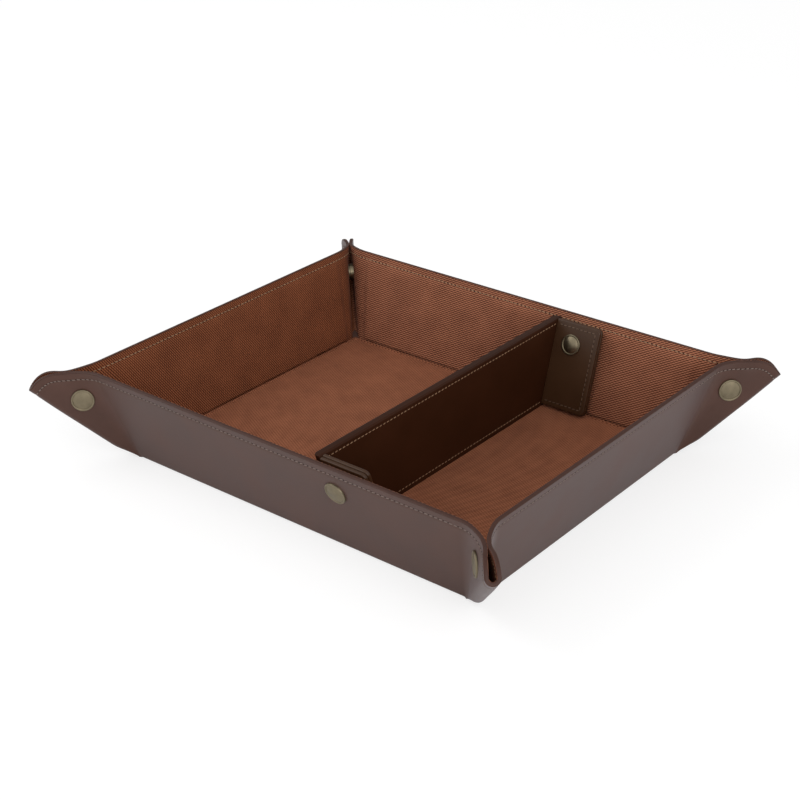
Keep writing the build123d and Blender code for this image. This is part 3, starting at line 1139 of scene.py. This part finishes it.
class TRAY_OT_stage(bpy.types.Operator):
    """White studio floor, soft light and the photograph's camera"""

    bl_idname = "tray.stage"
    bl_label = "Stage"

    def execute(self, context):
        self.lay_floor()
        self.light_world(context.scene)
        self.add_softboxes()
        self.place_camera(context.scene)
        context.scene.view_settings.view_transform = "Standard"
        return {"FINISHED"}

    def lay_floor(self):
        """White floor; to the camera it is partly lit from within, so that it runs into the backdrop."""
        deselect()
        bpy.ops.mesh.primitive_plane_add(size=12, location=(0, 0, -0.0002))
        floor = named("studio_floor")
        surface, tree, shader = new_material("studio_floor_white")
        connect(tree, shader, {"Base Color": rgba(colours().floor), "Roughness": 0.9,
                               "Specular IOR Level": 0.0})
        seen = add_node(tree, "LightPath").outputs["Is Camera Ray"]
        share = add_node(tree, "Math", "share lit", {"operation": "MULTIPLY"}, seen, 0.6)
        lit = add_node(tree, "Emission", "lit white for the camera", Color=WHITE, Strength=1.15)
        mix = add_node(tree, "MixShader", "", None, share, shader, lit)
        connect(tree, tree.get_output_node("ALL"), {"Surface": mix})
        floor.data.materials.append(surface)
        floor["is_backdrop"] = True

    def light_world(self, scene):
        """Soft light from all round, and a plain white backdrop for the camera."""
        world = bpy.data.worlds.get("studio") or bpy.data.worlds.new("studio")
        scene.world = world
        world.use_nodes = True
        tree = world.node_tree
        tree.nodes.clear()
        seen = add_node(tree, "LightPath").outputs["Is Camera Ray"]
        # Darker towards the back left, where no softbox stands
        direction = add_node(tree, "TexCoord").outputs["Generated"]
        facing = add_node(tree, "VectorMath", "", {"operation": "DOT_PRODUCT"}, direction, (-0.62, 0.76, 0.2))
        strength = add_node(tree, "MapRange", "softboxes", None, facing, -0.3, 0.9, 0.95, 0.4)
        sky = add_node(tree, "Background", "studio light", Color=WHITE, Strength=strength)
        plain = add_node(tree, "Background", "white backdrop", Color=WHITE, Strength=1.0)
        mix = add_node(tree, "MixShader", "", None, seen, sky, plain)
        add_node(tree, "OutputWorld", Surface=mix)

    def add_softboxes(self):
        """Two round softboxes turned to the tray."""
        for name, place, size, energy in (("key_light", (-0.95, -0.45, 0.95), 0.9, 4.0),
                                          ("fill_light", (1.0, -0.55, 0.55), 0.8, 3.6)):
            bpy.ops.object.light_add(type="AREA", location=place)
            light = bpy.context.object
            light.name = name
            light.data.name = name
            light.data.shape = "DISK"
            light.data.size = size
            light.data.energy = energy
            light.rotation_mode = "QUATERNION"
            light.rotation_quaternion = Vector(light.location).to_track_quat("Z", "Y")

    def place_camera(self, scene):
        """The photo's camera, fitted to the outlines in the photo."""
        azimuth, elevation, roll = radians(39.536), radians(27.073), radians(-0.901)
        distance = 951.7 * MM
        target = Vector((-14.51, 12.31, 24.4)) * MM
        back = Vector((sin(azimuth) * cos(elevation), -cos(azimuth) * cos(elevation), sin(elevation)))
        right = (-back).cross(Z).normalized()
        up = right.cross(-back)
        right, up = right * cos(roll) + up * sin(roll), up * cos(roll) - right * sin(roll)
        bpy.ops.object.camera_add()
        camera = bpy.context.object
        camera.name = "photo_camera"
        camera.data.name = "photo_camera"
        place = Matrix((right, up, back)).transposed().to_4x4()
        place.translation = target + back * distance
        camera.matrix_world = place
        camera.data.sensor_width = 36
        camera.data.lens = 72.78
        camera.data.clip_start = 0.05
        camera.data.clip_end = 50
        scene.camera = camera


class TRAY_PT_panel(bpy.types.Panel):
    """Lists the tray's steps, sizes and colours"""

    bl_label = "Valet tray"
    bl_idname = "TRAY_PT_panel"
    bl_space_type = "VIEW_3D"
    bl_region_type = "UI"
    bl_category = "Valet tray"

    def draw(self, context):
        for step in STEPS:
            self.layout.operator(step.bl_idname)
        for group in (context.scene.tray_sizes, context.scene.tray_colours):
            for name in group.__annotations__:
                self.layout.prop(group, name)


STEPS = (
    TRAY_OT_frame_finish,
    TRAY_OT_walls,
    TRAY_OT_ears,
    TRAY_OT_edges,
    TRAY_OT_stitching,
    TRAY_OT_floor_lining,
    TRAY_OT_divider,
    TRAY_OT_tabs,
    TRAY_OT_snaps,
    TRAY_OT_stage,
)
CLASSES = (TraySizes, TrayColours, *STEPS, TRAY_PT_panel)


def register():
    for item in CLASSES:
        bpy.utils.register_class(item)
    bpy.types.Scene.tray_sizes = PointerProperty(type=TraySizes)
    bpy.types.Scene.tray_colours = PointerProperty(type=TrayColours)


def unregister():
    del bpy.types.Scene.tray_sizes
    del bpy.types.Scene.tray_colours
    for item in reversed(CLASSES):
        bpy.utils.unregister_class(item)


def main():
    register()
    bpy.ops.tray.frame_finish()
    bpy.ops.tray.walls()
    bpy.ops.tray.ears()
    bpy.ops.tray.edges()
    bpy.ops.tray.stitching()
    bpy.ops.tray.floor_lining()
    bpy.ops.tray.divider()
    bpy.ops.tray.tabs()
    bpy.ops.tray.snaps()
    bpy.ops.tray.stage()
    sides = {"cad": CAD_BOX, "visual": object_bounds()}
    {name: [list(corner) for corner in box] for name, box in sides.items()}


if __name__ == "__main__":
    main()
